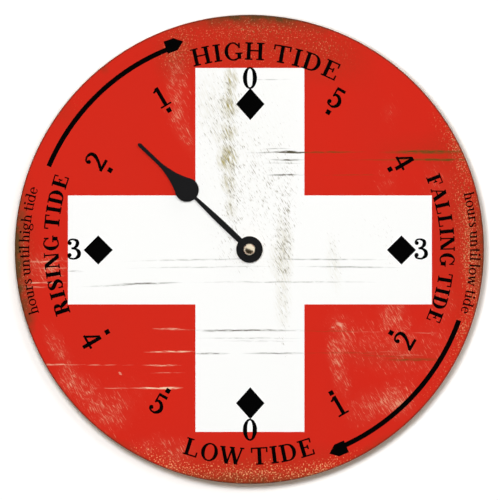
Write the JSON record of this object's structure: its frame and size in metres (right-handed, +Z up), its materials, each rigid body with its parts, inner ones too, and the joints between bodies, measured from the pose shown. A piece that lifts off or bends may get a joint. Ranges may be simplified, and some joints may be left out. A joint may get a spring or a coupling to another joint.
{
  "type": "tide clock",
  "caption": "Round wooden wall clock with a printed dial and a single spade hand that follows the tide, driven by a quartz movement with a keyhole hanger.",
  "frame": {"origin": "on the hand's axis, in the plane of the wall that the movement's back rests on", "axes": "+X to the right and +Z up as the dial is read; +Y points into the wall, so the dial faces -Y"},
  "size_m": [0.2666, 0.034, 0.2666],
  "materials": {
    "printed_board": "red, white and black print on fibreboard, satin, worn at the rim",
    "black_hand": "satin black paint on stamped sheet",
    "polished_brass": "polished",
    "plain_brass": "turned",
    "zinc_steel": "zinc plated",
    "soft_iron": "annealed sheet",
    "case_plastic": "fine spark texture",
    "knob_plastic": "moulded",
    "wheel_plastic": "natural acetal",
    "bobbin_plastic": "moulded",
    "copper_wire": "enamelled copper wire",
    "board_laminate": "paper laminate",
    "epoxy": "cast epoxy",
    "nickel_can": "nickel plated",
    "magnet": "sintered",
    "cell_can": "nickel-plated steel can",
    "cell_sleeve": "shrink sleeve",
    "gasket_rubber": "moulded"
  },
  "bodies": {
    "clock": {"dial_disc": "printed_board", "front_case": "case_plastic", "rear_cover": "case_plastic", "threaded_bush": "plain_brass", "rubber_gasket": "gasket_rubber", "dial_washer": "plain_brass", "hex_nut": "plain_brass", "hanger_plate": "zinc_steel", "train_plate": "bobbin_plastic", "stator_plate": "soft_iron", "coil_core": "soft_iron", "coil_bobbin": "bobbin_plastic", "coil_winding": "copper_wire", "circuit_board": "board_laminate", "chip_cap": "epoxy", "quartz_crystal": "nickel_can", "positive_contact": "zinc_steel", "negative_contact": "zinc_steel"},
    "tide_hand": {"hand_blade": "black_hand", "hand_collet": "plain_brass", "cap_nut": "polished_brass", "tide_arbor": "plain_brass", "tide_wheel": "wheel_plastic"},
    "minute": {"minute_wheel": "wheel_plastic"},
    "cannon": {"cannon_pinion": "wheel_plastic"},
    "setting": {"setting_pinion": "wheel_plastic", "setting_knob": "knob_plastic"},
    "rotor": {"rotor_pinion": "wheel_plastic", "rotor_magnet": "magnet"},
    "intermediate": {"intermediate_wheel": "wheel_plastic"},
    "second": {"second_wheel": "wheel_plastic"},
    "third": {"third_wheel": "wheel_plastic"},
    "centre": {"centre_wheel": "wheel_plastic"},
    "battery": {"battery_cell": "cell_can", "battery_sleeve": "cell_sleeve"}
  },
  "joints": [
    {"name": "tide_hand_turn", "type": "hinge", "parent": "clock", "child": "tide_hand", "pos_m": [0, -0.029, 0], "axis": [0, 1, 0], "continuous": true},
    {"name": "minute_wheel_turn", "type": "hinge", "parent": "clock", "child": "minute", "pos_m": [-0.00752, -0.011, -0.00274], "axis": [0, 1, 0], "continuous": true},
    {"name": "cannon_pinion_turn", "type": "hinge", "parent": "clock", "child": "cannon", "pos_m": [0, -0.011, 0], "axis": [0, 1, 0], "continuous": true},
    {"name": "setting_knob_turn", "type": "hinge", "parent": "clock", "child": "setting", "pos_m": [-0.01552, -0.0013, -0.00274], "axis": [0, 1, 0], "continuous": true},
    {"name": "rotor_turn", "type": "hinge", "parent": "clock", "child": "rotor", "pos_m": [-0.00647, -0.008, 0.01419], "axis": [0, 1, 0], "continuous": true},
    {"name": "intermediate_wheel_turn", "type": "hinge", "parent": "clock", "child": "intermediate", "pos_m": [0.00062, -0.008, 0.01545], "axis": [0, 1, 0], "continuous": true},
    {"name": "second_wheel_turn", "type": "hinge", "parent": "clock", "child": "second", "pos_m": [0.01112, -0.008, 0.01545], "axis": [0, 1, 0], "continuous": true},
    {"name": "third_wheel_turn", "type": "hinge", "parent": "clock", "child": "third", "pos_m": [0.00935, -0.008, 0.0054], "axis": [0, 1, 0], "continuous": true},
    {"name": "centre_wheel_turn", "type": "hinge", "parent": "clock", "child": "centre", "pos_m": [0, -0.009, 0], "axis": [0, 1, 0], "continuous": true},
    {"name": "battery_lift", "type": "slide", "parent": "clock", "child": "battery", "axis": [0, 1, 0], "range_m": [0, 0.03]}
  ],
  "couplings": [
    {"joint": "minute_wheel_turn", "follows": "tide_hand_turn", "ratio": -4},
    {"joint": "cannon_pinion_turn", "follows": "tide_hand_turn", "ratio": 12},
    {"joint": "setting_knob_turn", "follows": "tide_hand_turn", "ratio": 12},
    {"joint": "intermediate_wheel_turn", "follows": "rotor_turn", "ratio": -0.2},
    {"joint": "second_wheel_turn", "follows": "rotor_turn", "ratio": 0.033333},
    {"joint": "third_wheel_turn", "follows": "rotor_turn", "ratio": -0.0044444},
    {"joint": "centre_wheel_turn", "follows": "rotor_turn", "ratio": 0.00055556}
  ]
}
